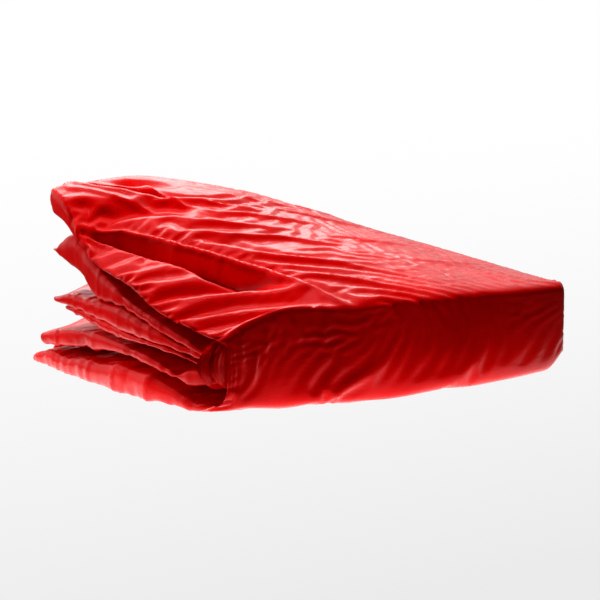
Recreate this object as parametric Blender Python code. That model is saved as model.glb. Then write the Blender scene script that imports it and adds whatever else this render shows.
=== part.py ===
"""A kayak spray skirt, folded for storage.

The skirt was laid flat, folded bow over stern with the waist tunnel between the two, and then folded in half again
along its centreline. Three layers (rear deck, waist tunnel, front deck) lie nested in one another like the covers and
pages of a book, so that the bundle shows six leaves: three of the port half below, three of the starboard half above.

+X runs along the centreline fold from the amidships fold (the open, fanned end) to the bow and stern tips.
+Y runs from the centreline fold to the loose hem edges, and +Z is up. The origin is on the floor, under the middle.
"""

import math
from collections import namedtuple

import bmesh
import bpy
from mathutils import Matrix, Vector

# Driving dimensions, in metres.
LENGTH = 0.370
DEPTH = 0.325
FOLD_BULGE = 0.013
FOLD_BULGE_LEAN = 1.2
END_BULGE = 0.011

# How far the corners are pulled in, as shares, and how local that is along the length and along the depth.
TIP_CORNER = (0.10, 4, 4)
OPEN_CORNER = (0.035, 12, 6)
NEAR_CORNER = (0.036, 10, 6)

# Height of the whole bundle along the centreline fold, and along the loose edges: (share of the length, metres).
FOLD_HEIGHT = ((0.0, 0.0675), (0.18, 0.084), (0.6, 0.083), (0.85, 0.079), (1.0, 0.077))
OPEN_HEIGHT = ((0.0, 0.160), (0.22, 0.168), (0.42, 0.160), (0.6, 0.144), (0.75, 0.124), (0.92, 0.102), (1.0, 0.087))

# How far the top bows up between those two heights, at the fanned end and at the tips.
CROWN = (0.40, 0.10)

# Leaves: the gap between two of them, their thinnest rim, and the shares over which nose and far edge close.
GAP = 0.0006
RIM = 0.0012
NOSE_SHARE = 0.05
EDGE_SHARE = 0.10
EDGE_THICKNESS = 0.0055

# Hems: a sleeve round a bungee cord, which starts and stops short of the leaf's ends, in shares of its sides.
SLEEVE_RADIUS = 0.0042
SLEEVE_BORE = 0.0034
CORD_RADIUS = 0.0028
FLOOR_CLEARANCE = 0.0003
HEM_CLEARANCE = 0.0036
HEM_START = 0.075
HEM_SPARE = 0.10
HEM_STEPS = 30
HEM_ROOM = 2.4 * SLEEVE_RADIUS

# The layers where they turn round the centreline, the end clearance of the outer one, and the two crease axes.
STRIP_THICKNESS = 0.0026
OUTER_STRIP = 0.0034
STRIP_CLEARANCE = 0.0025
CREASE_HEIGHTS = (0.003, 0.082)

# The hems' turns at the tips: (tip, distance from the centreline fold, lowest, highest) in metres.
TURNS = (("stern", 0.018, 0.0045, 0.0725), ("bow", 0.029, 0.0265, 0.0455))

# How far into the bundle the fanned end reaches, as a share of the length.
FAN_REACH = 0.42

# The tunnel's top carries the waistband; both stop short of the bow and stern tips.
TUNNEL_END = 0.79
BAND_START = 0.805
BAND_END = 0.905
BAND_DEPTH_START = 0.05
BAND_DEPTH_END = 0.84
BAND_COLUMNS = 3

# What lies in the tunnel's slot, as (lift above its lowest level, thickness) in metres.
CASING = (0.0012, 0.0056)
CHANNEL = (0.0026, 0.0028)
ELASTIC = (0.0030, 0.0020)
LOOP_PATCH = (0.0074, 0.0014)
HOOK_TAB = (0.0092, 0.0014)

# The channel's walls and its overshoot, the elastic's slack in it, and where hook and loop lie, all in shares.
CHANNEL_WALL = 0.010
CHANNEL_OVERSHOOT = 0.04
ELASTIC_SLACK = 0.0015
CLOSURE_MARGIN = 0.018
LOOP_PATCH_DEPTH = (0.50, 0.74)
HOOK_TAB_DEPTH = (0.46, 0.66)

# The grab loop, folded back against the ends of the hems.
LOOP_WIDTH = 0.020
LOOP_LENGTH = 0.084
LOOP_SPREAD = 0.0115
LOOP_SIDES = 28
LOOP_LEAN_SHARE = 0.55
LOOP_SLIMNESS = 0.35
LOOP_OFFSET = (0.0035, 0.004, 0.0045)
WEBBING = 0.0016
ANCHOR_SIZE = (0.0012, 0.013, LOOP_WIDTH)
ANCHOR_CLEARANCE = 0.0010
BAR_TACK_SIZE = (0.0012, 0.008, LOOP_WIDTH * 0.8)
BAR_TACK_PLACE = 0.014

# Grid of a leaf: cells along the length and along the depth, and how far they crowd to the nose and the far edge.
COLUMNS = 18
ROWS = 10
NOSE_CROWDING = 1.8
EDGE_CROWDING = 1.4

Leaf = namedtuple("Leaf", "name body fan share reach depth inset end")

# Bottom to top. fan: (lowest, highest) in metres at the fanned end, at each of the FAN_STATIONS of the depth.
# share: (lowest, highest) further along, as shares of the bundle's height there. reach: how far the leaf stands out
# at the fanned end. depth: how far it goes back there. inset: from the centreline fold. end: share of the length.
FAN_STATIONS = (0.03, 0.25, 0.45, 0.68, 0.85)
LEAVES = (
    Leaf("rear_deck_port", "port", ((0.0, 0.014), (0.0, 0.022), (0.0, 0.019), (0.0, 0.017), (0.0, 0.014)),
         (0.0, 0.200), 0.006, 0.322, 0.0042, 1.0),
    Leaf("tunnel_port", "port",
         ((0.0205, 0.0365), (0.0280, 0.0430), (0.0255, 0.0450), (0.0215, 0.0430), (0.0160, 0.0360)),
         (0.205, 0.380), 0.004, 0.310, 0.0076, TUNNEL_END),
    Leaf("front_deck_port", "port",
         ((0.0390, 0.0465), (0.0460, 0.0525), (0.0470, 0.0550), (0.0490, 0.0570), (0.0520, 0.0580)),
         (0.385, 0.490), 0.000, 0.264, 0.0110, 1.0),
    Leaf("front_deck_starboard", "starboard",
         ((0.0480, 0.0550), (0.0560, 0.0660), (0.0590, 0.0730), (0.0590, 0.0780), (0.0600, 0.0720)),
         (0.505, 0.600), 0.002, 0.280, 0.0110, 1.0),
    Leaf("tunnel_starboard", "starboard",
         ((0.0560, 0.0620), (0.0675, 0.0740), (0.0750, 0.0850), (0.0860, 0.1150), (0.0960, 0.1240)),
         (0.605, 0.765), 0.004, 0.286, 0.0076, TUNNEL_END),
    Leaf("rear_deck_starboard", "starboard",
         ((0.0635, 0.0690), (0.0780, 0.0960), (0.0940, 0.1200), (0.1190, 0.1500), (0.1320, 0.1620)),
         (0.770, 1.0), 0.004, 0.290, 0.0042, 1.0),
)
LEAF = {leaf.name: leaf for leaf in LEAVES}

RED = (0.62, 0.0, 0.0, 1.0)
DARK = (0.03, 0.03, 0.032, 1.0)
GREY = (0.25, 0.25, 0.26, 1.0)


def through(stations, u):
    """A smooth curve through (place, value) stations: cubic pieces with the slopes of their neighbours' chords."""
    last = len(stations) - 1
    if u <= stations[0][0]:
        return stations[0][1]
    if u >= stations[last][0]:
        return stations[last][1]

    def slope(i):
        before, after = stations[max(i - 1, 0)], stations[min(i + 1, last)]
        return (after[1] - before[1]) / (after[0] - before[0])

    piece = max(i for i in range(last) if stations[i][0] <= u)
    (u0, v0), (u1, v1) = stations[piece], stations[piece + 1]
    width = u1 - u0
    f = (u - u0) / width
    return (
        v0 * (1 + 2 * f) * (1 - f) ** 2
        + v1 * f * f * (3 - 2 * f)
        + slope(piece) * width * f * (1 - f) ** 2
        - slope(piece + 1) * width * f * f * (1 - f)
    )


def ease(u):
    """0 to 1, level at both ends."""
    u = min(max(u, 0.0), 1.0)
    return u * u * (3 - 2 * u)


def rounded(u):
    """0 to 1 along a quarter of a circle, for a folded nose."""
    u = min(max(u, 0.0), 1.0)
    return math.sqrt(1 - (1 - u) ** 2)


def fold_line(s):
    """Y of the outside of the centreline fold at share s of the length."""
    s = min(max(s, 0.0), 1.0)
    return -DEPTH / 2 - FOLD_BULGE * math.sin(math.pi * s**FOLD_BULGE_LEAN)


def stack_height(s, t):
    """Height of the whole bundle at share s of the length and share t of the depth."""
    crown = CROWN[0] + (CROWN[1] - CROWN[0]) * ease(s)
    risen = t + crown * t * (1 - t)
    return through(FOLD_HEIGHT, s) * (1 - risen) + through(OPEN_HEIGHT, s) * risen


def pull(corner, u, v):
    """Share by which a corner is pulled in, u and v being 1 in that corner."""
    most, local_u, local_v = corner
    return most * u**local_u * v**local_v


def place(leaf, s, t):
    """X and Y of a point of a leaf."""
    start = -LENGTH / 2 - leaf.reach - END_BULGE * math.sin(math.pi * t)
    depth = leaf.depth + (DEPTH - HEM_ROOM - leaf.depth) * ease(s / FAN_REACH)
    tip = pull(TIP_CORNER, s, t)
    open_corner = pull(OPEN_CORNER, 1 - s, t)
    near_corner = pull(NEAR_CORNER, 1 - s, 1 - t)
    x = start + (LENGTH / 2 - start) * s * leaf.end + LENGTH * (open_corner + near_corner - tip)
    y = fold_line(x / LENGTH + 0.5) + leaf.inset + (depth - leaf.inset) * t - DEPTH * (tip + open_corner)
    return x, y


def shares(x, y):
    """Where a point lies in the bundle, as shares of its length and of its depth."""
    s = min(max(x / LENGTH + 0.5, 0.0), 1.0)
    return s, min(max((y - fold_line(s)) / DEPTH, 0.0), 1.0)


def levels(leaf, x, y):
    """Lowest and highest point of a leaf over (x, y) before its edges close: fanned at one end, pressed beyond it."""
    s, t = shares(x, y)
    pressed = ease(s / FAN_REACH)
    found = []
    for side in (0, 1):
        fanned = through([(u, f[side]) for u, f in zip(FAN_STATIONS, leaf.fan)], t)
        found.append(fanned * (1 - pressed) + leaf.share[side] * stack_height(s, t) * pressed)
    return found


def surfaces(leaf, s, t):
    """The lower and the upper point of a leaf at (s, t), with a folded nose at the fanned end and a thin far edge."""
    x, y = place(leaf, s, t)
    low, high = levels(leaf, x, y)
    low += GAP / 2
    high -= GAP / 2
    middle, half = (low + high) / 2, (high - low) / 2
    nose = RIM / 2 + (half - RIM / 2) * rounded(s / NOSE_SHARE)
    edge = min(half, EDGE_THICKNESS / 2)
    closing = edge + (half - edge) * rounded((1 - t) / EDGE_SHARE)
    half = min(nose, closing)
    # The lowest leaf stays flat on the floor, and so its edges close downwards.
    if leaf.share[0] == 0.0:
        middle = half
    return Vector((x, y, middle - half)), Vector((x, y, middle + half))


def material(name, colour, roughness):
    made = bpy.data.materials.new(name)
    made.use_nodes = True
    shader = made.node_tree.nodes["Principled BSDF"]
    shader.inputs["Base Color"].default_value = colour
    shader.inputs["Roughness"].default_value = roughness
    return made


def add_object(name, bm, body, finish):
    """A named object from a closed bmesh, parented to its body's empty, whose place it keeps."""
    bmesh.ops.recalc_face_normals(bm, faces=bm.faces)
    mesh = bpy.data.meshes.new(name)
    bm.to_mesh(mesh)
    bm.free()
    made = bpy.data.objects.new(name, mesh)
    bpy.context.scene.collection.objects.link(made)
    mesh.shade_smooth()
    mesh.set_sharp_from_angle(angle=math.radians(50))
    mesh.materials.append(finish)
    mesh.transform(Matrix.Translation(-body.location))
    made.parent = body
    return made


def sheet_solid(low_point, high_point, columns, rows):
    """A closed solid between two grids of points, its edge loops bridged. The points are functions of (0..1, 0..1)."""
    bm = bmesh.new()
    for point in (low_point, high_point):
        grid = [[bm.verts.new(point(i / columns, j / rows)) for j in range(rows + 1)] for i in range(columns + 1)]
        for i in range(columns):
            for j in range(rows):
                bm.faces.new((grid[i][j], grid[i + 1][j], grid[i + 1][j + 1], grid[i][j + 1]))
    bmesh.ops.bridge_loops(bm, edges=[e for e in bm.edges if e.is_boundary])
    return bm


def leaf_solid(leaf):
    """One leaf, its columns closer together near the folded nose."""

    def at(side):
        return lambda u, v: surfaces(leaf, u**NOSE_CROWDING, 1 - (1 - v) ** EDGE_CROWDING)[side]

    return sheet_solid(at(0), at(1), COLUMNS, ROWS)


def slab_solid(x_range, y_at, z_range_at, columns=12, rows=2):
    """A thin upright strip along X. y_at gives (near, far) and z_range_at gives (low, high), both of the share s."""
    span = x_range[1] - x_range[0]

    def at(side):
        def point(u, v):
            s = x_range[0] + span * u
            low, high = z_range_at(s)
            return Vector((-LENGTH / 2 + LENGTH * s, y_at(s)[side], low + (high - low) * v))

        return point

    return sheet_solid(at(0), at(1), columns, rows)


def tube_solid(path, outer, inner=0.0, sides=8):
    """A round tube along a path, hollow from end to end where inner isn't 0."""
    bm = bmesh.new()

    def rings(radius):
        made = []
        for i, point in enumerate(path):
            ahead = path[min(i + 1, len(path) - 1)] - path[max(i - 1, 0)]
            turn = ahead.to_track_quat("Z", "Y").to_matrix()
            made.append([
                bm.verts.new(point + turn @ Vector((radius * math.cos(a), radius * math.sin(a), 0)))
                for a in (2 * math.pi * k / sides for k in range(sides))
            ])
        return made

    def skin(loops):
        for a, b in zip(loops, loops[1:]):
            for k in range(sides):
                bm.faces.new((a[k], a[k - 1], b[k - 1], b[k]))

    outside = rings(outer)
    skin(outside)
    if inner:
        inside = rings(inner)
        skin(inside)
        for end in (0, -1):
            for k in range(sides):
                bm.faces.new((outside[end][k], outside[end][k - 1], inside[end][k - 1], inside[end][k]))
    else:
        bm.faces.new(outside[0])
        bm.faces.new(outside[-1])
    return bm


def hem_path(leaf):
    """The centre of a leaf's hem: along its loose edge, round the corner, and along the tips to the centreline."""
    edge = []
    for k in range(HEM_STEPS + 1):
        along = HEM_START + k / HEM_STEPS * (2 - HEM_START - HEM_SPARE)
        s, t = (along, 1.0) if along < 1 else (1.0, 2 - along)
        low, high = surfaces(leaf, s, t)
        edge.append((low + high) / 2)
    # The path is smoothed where it turns the corner, and then moved out of the leaf by the sleeve's radius.
    edge = edge[:1] + [(a + b * 2 + c) / 4 for a, b, c in zip(edge, edge[1:], edge[2:])] + edge[-1:]
    moved = []
    for i, point in enumerate(edge):
        ahead = edge[min(i + 1, HEM_STEPS)] - edge[max(i - 1, 0)]
        outward = Vector((-ahead.y, ahead.x, 0)).normalized()
        clear = point + outward * (SLEEVE_RADIUS + HEM_CLEARANCE)
        clear.z = max(clear.z, SLEEVE_RADIUS + FLOOR_CLEARANCE)
        moved.append(clear)
    return moved


def hinge_points():
    """The two centreline creases, low and high, as (x, y, z) on their axes."""
    return [Vector((0, -DEPTH / 2 - FOLD_BULGE, height)) for height in CREASE_HEIGHTS]


def grab_loop_pivot():
    low, high = surfaces(LEAF["front_deck_port"], 1.0, 0.0)
    bow_end = Vector((LENGTH / 2 + 2 * SLEEVE_RADIUS, low.y, (low.z + high.z) / 2))
    return bow_end + Vector(LOOP_OFFSET)


def grab_loop_solid(pivot):
    """A band of webbing bent to a teardrop, lying along +Y from its sewn root, and standing on its edge."""

    def ring(offset):
        points = []
        for k in range(LOOP_SIDES):
            angle = 2 * math.pi * k / LOOP_SIDES
            along = (1 - math.cos(angle)) / 2
            half = LOOP_SPREAD * math.sin(angle) * ease(along) ** LOOP_SLIMNESS
            points.append((along * (LOOP_LENGTH - 2 * offset) + offset, half * (1 - offset / LOOP_SPREAD)))
        return points

    bm = bmesh.new()
    loops = []
    for offset in (0.0, WEBBING):
        for z in (-LOOP_WIDTH / 2, LOOP_WIDTH / 2):
            loops.append([
                bm.verts.new(pivot + Vector((-half + lean(along), along, z))) for along, half in ring(offset)
            ])
    out_low, out_high, in_low, in_high = loops
    for a, b in ((out_low, out_high), (out_high, in_high), (in_high, in_low), (in_low, out_low)):
        for k in range(LOOP_SIDES):
            bm.faces.new((a[k], a[k - 1], b[k - 1], b[k]))
    return bm


def lean(along):
    """How far the tucked loop stands away from the ends of the hems."""
    return LOOP_SPREAD * ease(along / (LOOP_LENGTH * LOOP_LEAN_SHARE))


def box_solid(centre, size):
    bm = bmesh.new()
    bmesh.ops.create_cube(bm, size=1)
    bmesh.ops.scale(bm, vec=size, verts=bm.verts)
    bmesh.ops.translate(bm, vec=centre, verts=bm.verts)
    return bm


def band_solid(leaf, s_range, t_range, layer, rows=8):
    """A flat band across a tunnel leaf's slot, whose layer is (lift above the slot's lowest level, thickness)."""
    full = leaf._replace(end=1.0)
    lift, thickness = layer

    def at(side):
        def point(u, v):
            s = s_range[0] + (s_range[1] - s_range[0]) * u
            t = t_range[0] + (t_range[1] - t_range[0]) * v
            x, y = place(full, s, t)
            return Vector((x, y, levels(full, x, y)[0] + lift + side * thickness))

        return point

    return sheet_solid(at(0), at(1), BAND_COLUMNS, rows)


def add_waistband(leaf, side, body, cloth, elastic):
    """The tunnel's top hem: a flat casing, open at both ends, with its elastic inside."""
    casing = add_object(
        f"waistband_{side}",
        band_solid(leaf, (BAND_START, BAND_END), (BAND_DEPTH_START, BAND_DEPTH_END), CASING),
        body, cloth,
    )
    channel = (BAND_START + CHANNEL_WALL, BAND_END - CHANNEL_WALL)
    through_ends = (BAND_DEPTH_START - CHANNEL_OVERSHOOT, BAND_DEPTH_END + CHANNEL_OVERSHOOT)
    cutter = add_object(
        f"waistband_{side}_channel", band_solid(leaf, channel, through_ends, CHANNEL), body, cloth
    )
    cutter.hide_render = True
    cutter.display_type = "WIRE"
    cut = casing.modifiers.new("channel", "BOOLEAN")
    cut.object = cutter
    cut.solver = "EXACT"
    strip = (channel[0] + ELASTIC_SLACK, channel[1] - ELASTIC_SLACK)
    add_object(
        f"waist_elastic_{side}",
        band_solid(leaf, strip, (BAND_DEPTH_START, BAND_DEPTH_END), ELASTIC),
        body, elastic,
    )


def add_closure(leaf, body, finish):
    """The hook tab and the loop patch that take in the waist, one on the other, on top of the waistband."""
    strip = (BAND_START + CLOSURE_MARGIN, BAND_END - CLOSURE_MARGIN)
    for name, depth, layer in (
        ("waist_loop_patch", LOOP_PATCH_DEPTH, LOOP_PATCH),
        ("waist_hook_tab", HOOK_TAB_DEPTH, HOOK_TAB),
    ):
        add_object(name, band_solid(leaf, strip, depth, layer, rows=3), body, finish)


def middle_level(name, s):
    """Half-way up a leaf at its turn round the centreline."""
    low, high = levels(LEAF[name], LENGTH * (s - 0.5), fold_line(s))
    return (low + high) / 2


def add_centre_fold(body, cloth, cord, webbing):
    """The three nested layers where they turn round the centreline, the hems' turns, and the grab loop's anchor."""
    outer_inset = LEAF["rear_deck_port"].inset
    middle_inset = LEAF["tunnel_port"].inset
    add_object(
        "rear_deck_centre",
        slab_solid(
            (0.0, 1.0),
            lambda s: (fold_line(s), fold_line(s) + OUTER_STRIP),
            lambda s: (STRIP_CLEARANCE, through(FOLD_HEIGHT, s) - STRIP_CLEARANCE),
        ),
        body, cloth,
    )
    add_object(
        "tunnel_centre",
        slab_solid(
            (0.0, TUNNEL_END),
            lambda s: (fold_line(s) + outer_inset, fold_line(s) + outer_inset + STRIP_THICKNESS),
            lambda s: (middle_level("tunnel_port", s), middle_level("tunnel_starboard", s)),
        ),
        body, cloth,
    )
    add_object(
        "waistband_centre",
        slab_solid(
            (BAND_START, BAND_END),
            lambda s: (fold_line(s) + outer_inset, fold_line(s) + outer_inset + STRIP_THICKNESS),
            lambda s: (middle_level("tunnel_port", s), middle_level("tunnel_starboard", s)),
            columns=3,
        ),
        body, cloth,
    )
    add_object(
        "front_deck_centre",
        slab_solid(
            (0.0, 1.0),
            lambda s: (fold_line(s) + middle_inset, fold_line(s) + middle_inset + STRIP_THICKNESS),
            lambda s: (middle_level("front_deck_port", s), middle_level("front_deck_starboard", s)),
        ),
        body, cloth,
    )
    turn_x = LENGTH / 2 + SLEEVE_RADIUS + GAP
    for tip, back, low, high in TURNS:
        path = [Vector((turn_x, back - DEPTH / 2, low + (high - low) * k / 4)) for k in range(5)]
        add_object(f"{tip}_hem_sleeve", tube_solid(path, SLEEVE_RADIUS, SLEEVE_BORE), body, cloth)
        add_object(f"{tip}_hem_cord", tube_solid(path, CORD_RADIUS), body, cord)
    pivot = grab_loop_pivot()
    middle = Vector((turn_x + SLEEVE_RADIUS + ANCHOR_CLEARANCE, pivot.y, pivot.z))
    add_object("grab_loop_anchor", box_solid(middle, ANCHOR_SIZE), body, webbing)


def add_empty(name, location):
    made = bpy.data.objects.new(name, None)
    made.location = location
    bpy.context.scene.collection.objects.link(made)
    return made


def centre_on_floor(bodies):
    """Moves the whole assembly so that the origin is under the middle of its box."""
    bpy.context.view_layer.update()
    corners = [
        o.matrix_world @ Vector(corner)
        for o in bpy.data.objects
        if o.type == "MESH" and not o.hide_render
        for corner in o.bound_box
    ]
    for k in (0, 1):
        across = [corner[k] for corner in corners]
        for body in bodies:
            body.location[k] -= (min(across) + max(across)) / 2


def main():
    for stale in list(bpy.data.objects):
        bpy.data.objects.remove(stale)
    cloth = material("coated_cloth", RED, 0.22)
    cord = material("shock_cord", DARK, 0.6)
    elastic = material("elastic", DARK, 0.8)
    webbing = material("webbing", DARK, 0.7)
    patch = material("hook_and_loop", GREY, 0.9)

    low_crease, high_crease = hinge_points()
    pivot = grab_loop_pivot()
    bodies = {
        "port": add_empty("port_half", Vector()),
        "centre": add_empty("centre_fold", low_crease),
        "starboard": add_empty("starboard_half", high_crease),
        "loop": add_empty("release_loop", pivot),
    }
    for leaf in LEAVES:
        add_object(leaf.name, leaf_solid(leaf), bodies[leaf.body], cloth)
        if not leaf.name.startswith("tunnel"):
            path = hem_path(leaf)
            deck, _, side = leaf.name.split("_")
            add_object(
                f"{deck}_hem_sleeve_{side}", tube_solid(path, SLEEVE_RADIUS, SLEEVE_BORE), bodies[leaf.body], cloth
            )
            add_object(f"{deck}_hem_cord_{side}", tube_solid(path, CORD_RADIUS, sides=6), bodies[leaf.body], cord)
    for side in ("port", "starboard"):
        add_waistband(LEAF[f"tunnel_{side}"], side, bodies[side], cloth, elastic)
    add_closure(LEAF["tunnel_starboard"], bodies["starboard"], patch)
    add_centre_fold(bodies["centre"], cloth, cord, webbing)
    add_object("grab_loop", grab_loop_solid(pivot), bodies["loop"], webbing)
    root = pivot + Vector((lean(BAR_TACK_PLACE), BAR_TACK_PLACE, 0))
    add_object("grab_loop_bar_tack", box_solid(root, BAR_TACK_SIZE), bodies["loop"], webbing)

    centre_on_floor(bodies.values())
    for name, body in bodies.items():
        print(name, tuple(round(c, 6) for c in body.location))


main()
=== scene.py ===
"""The looks of a folded kayak spray skirt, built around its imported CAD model.

The outside of the bundle is one coated red cloth that comes up from under the bottom leaf, over the long centreline
fold, and on over the top leaf. Inside it lie the tunnel's and the front deck's leaves, fanned at the amidships end.
Everything is worked out from two shares: s runs along the fold from the fanned end (0) to the bow and stern tips (1),
and t runs from the fold (0) back to the loose hem edges (1).
"""

import math

import bpy
import numpy as np
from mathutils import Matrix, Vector


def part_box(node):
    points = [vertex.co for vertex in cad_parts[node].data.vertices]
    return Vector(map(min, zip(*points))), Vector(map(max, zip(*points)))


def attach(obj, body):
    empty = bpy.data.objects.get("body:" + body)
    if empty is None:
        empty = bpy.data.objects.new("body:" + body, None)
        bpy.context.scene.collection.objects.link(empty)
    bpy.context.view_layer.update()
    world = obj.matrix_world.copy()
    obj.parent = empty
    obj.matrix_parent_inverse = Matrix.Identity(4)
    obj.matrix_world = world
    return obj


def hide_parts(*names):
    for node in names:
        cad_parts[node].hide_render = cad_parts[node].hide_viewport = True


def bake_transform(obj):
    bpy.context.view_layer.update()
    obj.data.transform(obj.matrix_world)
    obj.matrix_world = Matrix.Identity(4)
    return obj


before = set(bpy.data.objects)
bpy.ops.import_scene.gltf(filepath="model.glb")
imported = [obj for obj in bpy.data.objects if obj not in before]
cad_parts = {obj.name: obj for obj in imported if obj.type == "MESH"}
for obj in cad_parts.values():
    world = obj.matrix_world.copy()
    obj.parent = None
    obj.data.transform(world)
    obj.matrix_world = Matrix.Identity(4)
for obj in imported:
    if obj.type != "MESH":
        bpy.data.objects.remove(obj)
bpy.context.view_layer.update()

# The bundle's place and size, from the frame.
STRIP = 0.0034
strip_low, strip_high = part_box("rear_deck_centre")
X_NOSE, LENGTH = strip_low.x, strip_high.x - strip_low.x
Y_FOLD = strip_high.y - STRIP
BULGE = Y_FOLD - strip_low.y
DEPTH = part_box("rear_hem_sleeve_port")[1].y - Y_FOLD

# Heights of the bundle along the fold and along the loose edges: (share of the length, metres).
FOLD_HEIGHT = ((0.0, 0.068), (0.07, 0.0765), (0.17, 0.0865), (0.35, 0.083), (0.6, 0.083), (0.85, 0.079), (1.0, 0.077))
OPEN_HEIGHT = ((0.0, 0.163), (0.2, 0.169), (0.36, 0.164), (0.45, 0.1585), (0.6, 0.1475), (0.76, 0.1315),
               (0.93, 0.1105), (1.0, 0.097))
# The fold's edges: its top one, its bottom one, and how much wider the bottom one is at the fanned end.
TOP_RADIUS, BOTTOM_RADIUS, NEAR_RADIUS = 0.007, 0.006, 0.010
# How far the fold's face stands out, and how far along the leaves are fanned, as a share of the length.
FOLD_SAG = 0.014
FAN_REACH = 0.42
# How far the underside is clear of the floor at the tips, at the fanned end, at its nose and everywhere.
TIP_RISE, FANNED_RISE, NOSE_LIFT, FLOOR_GAP = 0.012, 0.0048, 0.0030, 0.0003

# The leaves at the fanned end, bottom to top: (share of the depth, lowest, highest) in metres.
FAN = {
    "G": ((0.0, 0.0005, 0.009), (0.085, 0.001, 0.0085), (0.12, 0.001, 0.0112), (0.19, 0.002, 0.0176),
          (0.27, 0.002, 0.0222), (0.34, 0.003, 0.0237), (0.43, 0.003, 0.0236), (0.51, 0.003, 0.0200),
          (0.60, 0.003, 0.0195), (0.70, 0.004, 0.0140), (0.785, 0.004, 0.0165), (0.92, 0.006, 0.0085)),
    "F": ((0.0, 0.0290, 0.0335), (0.054, 0.0262, 0.0342), (0.085, 0.0238, 0.0346), (0.126, 0.0236, 0.0318),
          (0.152, 0.0262, 0.0285), (0.19, 0.0265, 0.0322), (0.267, 0.0312, 0.0384), (0.335, 0.0335, 0.0410),
          (0.42, 0.0345, 0.0433), (0.527, 0.0312, 0.0441), (0.67, 0.0258, 0.0418), (0.85, 0.0185, 0.0303)),
    "E": ((0.047, 0.0371, 0.0390), (0.157, 0.0446, 0.0476), (0.26, 0.0478, 0.0509), (0.35, 0.0482, 0.0520),
          (0.42, 0.0474, 0.0553), (0.525, 0.0503, 0.0582), (0.64, 0.0545, 0.0616), (0.70, 0.0568, 0.0590)),
    "D": ((0.047, 0.0436, 0.0459), (0.097, 0.0462, 0.0516), (0.16, 0.0488, 0.0556), (0.234, 0.0512, 0.0630),
          (0.315, 0.0522, 0.0687), (0.40, 0.0538, 0.0733), (0.508, 0.0572, 0.0735), (0.60, 0.0606, 0.0730),
          (0.68, 0.0612, 0.0720), (0.76, 0.0615, 0.0655)),
    "C": ((0.05, 0.0464, 0.0505), (0.118, 0.0538, 0.0590), (0.19, 0.0592, 0.0667), (0.265, 0.0658, 0.0733),
          (0.335, 0.0706, 0.0790), (0.43, 0.0748, 0.0900), (0.51, 0.0742, 0.0990), (0.563, 0.0775, 0.1085),
          (0.61, 0.0870, 0.1180), (0.68, 0.0958, 0.1250), (0.77, 0.1060, 0.1090)),
    "A": ((0.0, 0.0600, 0.0630), (0.046, 0.0628, 0.0660), (0.117, 0.0688, 0.0722), (0.16, 0.0719, 0.0755),
          (0.233, 0.0788, 0.0825), (0.297, 0.0880, 0.0918), (0.349, 0.0940, 0.0978), (0.426, 0.0985, 0.1023),
          (0.498, 0.1032, 0.1072), (0.563, 0.1093, 0.1155), (0.605, 0.1150, 0.1245), (0.65, 0.1240, 0.1385),
          (0.70, 0.1330, 0.1515), (0.774, 0.1395, 0.1610), (0.9, 0.1460, 0.1645)),
}
# The leaves further along, as shares of the bundle's height.
SHARE = {"G": (0.0, 0.20), "F": (0.205, 0.38), "E": (0.385, 0.49), "D": (0.505, 0.60), "C": (0.605, 0.765),
         "A": (0.770, 1.0)}
# How far each leaf reaches back at the fanned end, as a share of the depth, and how far it stands out there.
BACK = {"G": 0.915, "F": 0.88, "E": 0.735, "D": 0.79, "C": 0.795, "A": 0.80}
REACH = {"G": 0.0100, "F": 0.0095, "E": 0.0060, "D": 0.0085, "C": 0.0090, "A": 0.0085}
TUNNEL_END = 0.79

# The ridge that runs over the top leaf from its nose to the fold, as (s, t).
RIDGE = ((-0.02, 0.63), (0.04, 0.615), (0.09, 0.57), (0.13, 0.50), (0.165, 0.42), (0.21, 0.34), (0.27, 0.23),
         (0.315, 0.11), (0.335, 0.0))
# The mouth in front of the ridge: how deep it is, and how far its wall is drawn in under the ridge.
MOUTH_DEPTH, WALL_TUCK = 0.0225, 0.020

# How much larger than its place the cloth is, as shares of its sizes, and how far it slants low on the fold's face.
EXCESS_X, EXCESS_Y, EXCESS_Z, SLANT = 0.012, 0.075, 0.02, 0.017
# How firmly the cloth is held to its place: on top, beyond the fanned end, low on the fold's face, in the band above
# that, in the mouth's wall, at the noses, inside the upper wrap and at the loose edge.
HOLD, HOLD_CALM, HOLD_FACE, HOLD_BAND = 0.20, 0.66, 0.40, 0.75
HOLD_WALL, HOLD_NOSE, HOLD_INSIDE = 0.62, 0.42, 0.9


def smooth(u):
    """0 to 1, level at both ends."""
    u = np.clip(u, 0.0, 1.0)
    return u * u * (3 - 2 * u)


def rounded(u, power=2.0):
    """0 to 1, upright at the start and level at the end."""
    return (1 - (1 - np.clip(u, 0.0, 1.0)) ** power) ** (1 / power)


def through(stations, u, column=1):
    """A smooth curve through stations (place, value, ...), level with its neighbours' chords."""
    places = np.array([p[0] for p in stations])
    values = np.array([p[column] for p in stations])
    slopes = np.gradient(values, places)
    u = np.clip(u, places[0], places[-1])
    i = np.clip(np.searchsorted(places, u, side="right") - 1, 0, len(places) - 2)
    width = places[i + 1] - places[i]
    f = (u - places[i]) / width
    return (
        values[i] * (1 + 2 * f) * (1 - f) ** 2
        + values[i + 1] * f * f * (3 - 2 * f)
        + slopes[i] * width * f * (1 - f) ** 2
        - slopes[i + 1] * width * f * f * (1 - f)
    )


def fold_y(s):
    return Y_FOLD - BULGE * np.sin(np.pi * np.clip(s, 0, 1) ** 1.2)


def top_height(s, t):
    return through(FOLD_HEIGHT, s) * (1 - t) + through(OPEN_HEIGHT, s) * t


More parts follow.
